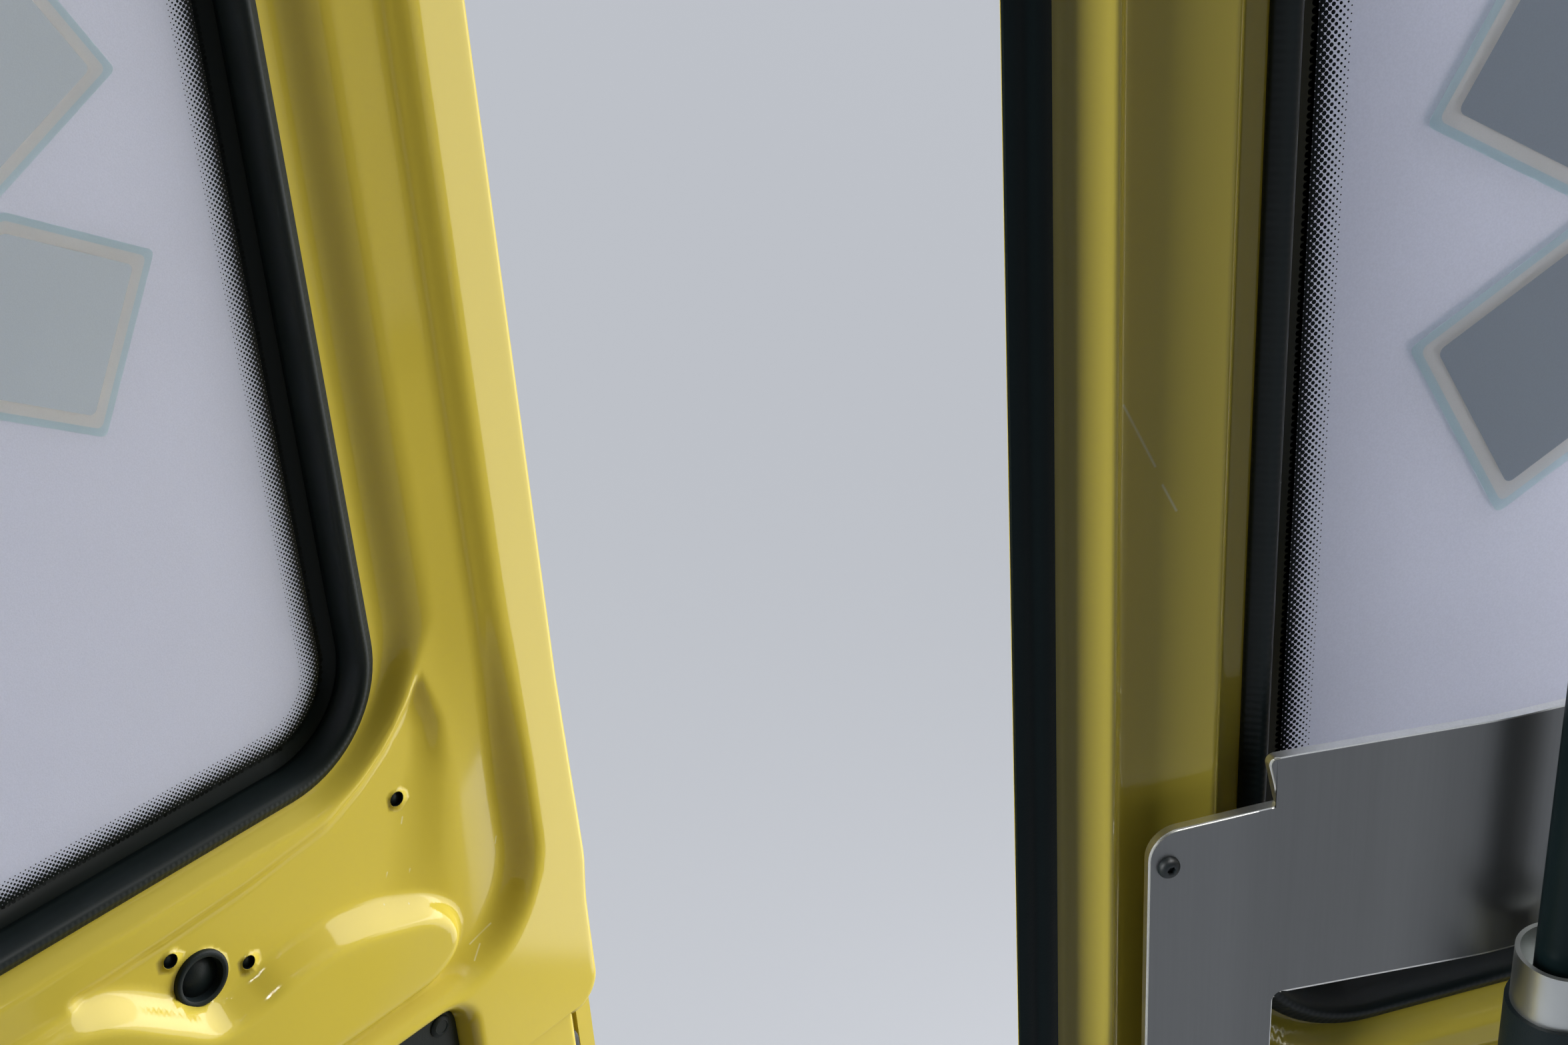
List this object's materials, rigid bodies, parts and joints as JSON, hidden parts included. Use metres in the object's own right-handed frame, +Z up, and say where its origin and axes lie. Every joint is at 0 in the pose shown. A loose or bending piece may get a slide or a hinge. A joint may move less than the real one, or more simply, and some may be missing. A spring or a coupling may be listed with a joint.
{
  "type": "ambulance rear double doors in their frame",
  "caption": "Rear double doors of an ambulance in their door frame, yellow, with frosted windows, one leaf ajar and one closed with a guard plate.",
  "frame": {"origin": "centre of the four bolt holes in the door frame's forward face", "axes": "+Z up, +Y rearward out of the vehicle, X across it, the closed leaf at +X"},
  "size_m": [1.748, 0.5701, 1.96],
  "materials": {
    "body_paint": "glossy sulphur yellow paint, lightly scratched",
    "black_rubber": "satin black rubber",
    "black_plastic": "matt black plastic",
    "frosted_glass": "frosted pale lilac grey film inside, black dotted border",
    "brushed_aluminium": "brushed",
    "tread_aluminium": "bare, worn",
    "pin_steel": "plain steel",
    "dark_screw": "dark button heads",
    "dark_tube": "dark coated tube",
    "bright_collar": "satin cup"
  },
  "bodies": {
    "door_frame": {"frame_header": "body_paint", "frame_sill": "body_paint", "frame_pillar_left": "body_paint", "frame_pillar_right": "body_paint", "aperture_seal": "black_rubber", "sill_tread": "tread_aluminium", "hinge_frame_halves_left": "body_paint", "hinge_pins_left": "pin_steel", "hinge_frame_halves_right": "body_paint", "hinge_pins_right": "pin_steel"},
    "left_leaf": {"left_hinge_leaf_halves": "body_paint", "left_outer_skin": "body_paint", "left_inner_panel": "body_paint", "left_window_glass": "frosted_glass", "left_window_trim": "black_rubber", "left_lower_panel": "black_plastic", "left_blanking_cap": "black_rubber", "left_lock_unit": "black_plastic", "left_outer_handle": "black_plastic", "left_handle_bezel": "black_plastic"},
    "right_leaf": {"right_hinge_leaf_halves": "body_paint", "right_outer_skin": "body_paint", "right_inner_panel": "body_paint", "right_window_glass": "frosted_glass", "right_window_trim": "black_rubber", "right_lower_panel": "black_plastic", "right_blanking_cap": "black_rubber", "right_edge_seal": "black_rubber", "right_guard_plate": "brushed_aluminium", "right_guard_screws": "dark_screw", "right_grab_pole": "dark_tube", "right_pole_feet": "black_plastic", "right_pole_cup": "bright_collar"}
  },
  "joints": [
    {"name": "left_leaf_hinge", "type": "hinge", "parent": "door_frame", "child": "left_leaf", "pos_m": [-0.796, 0.14, 0], "axis": [0, 0, 1], "range_deg": [-32.9, 147.1]},
    {"name": "right_leaf_hinge", "type": "hinge", "parent": "door_frame", "child": "right_leaf", "pos_m": [0.796, 0.14, 0], "axis": [0, 0, -1], "range_deg": [0, 180]}
  ]
}
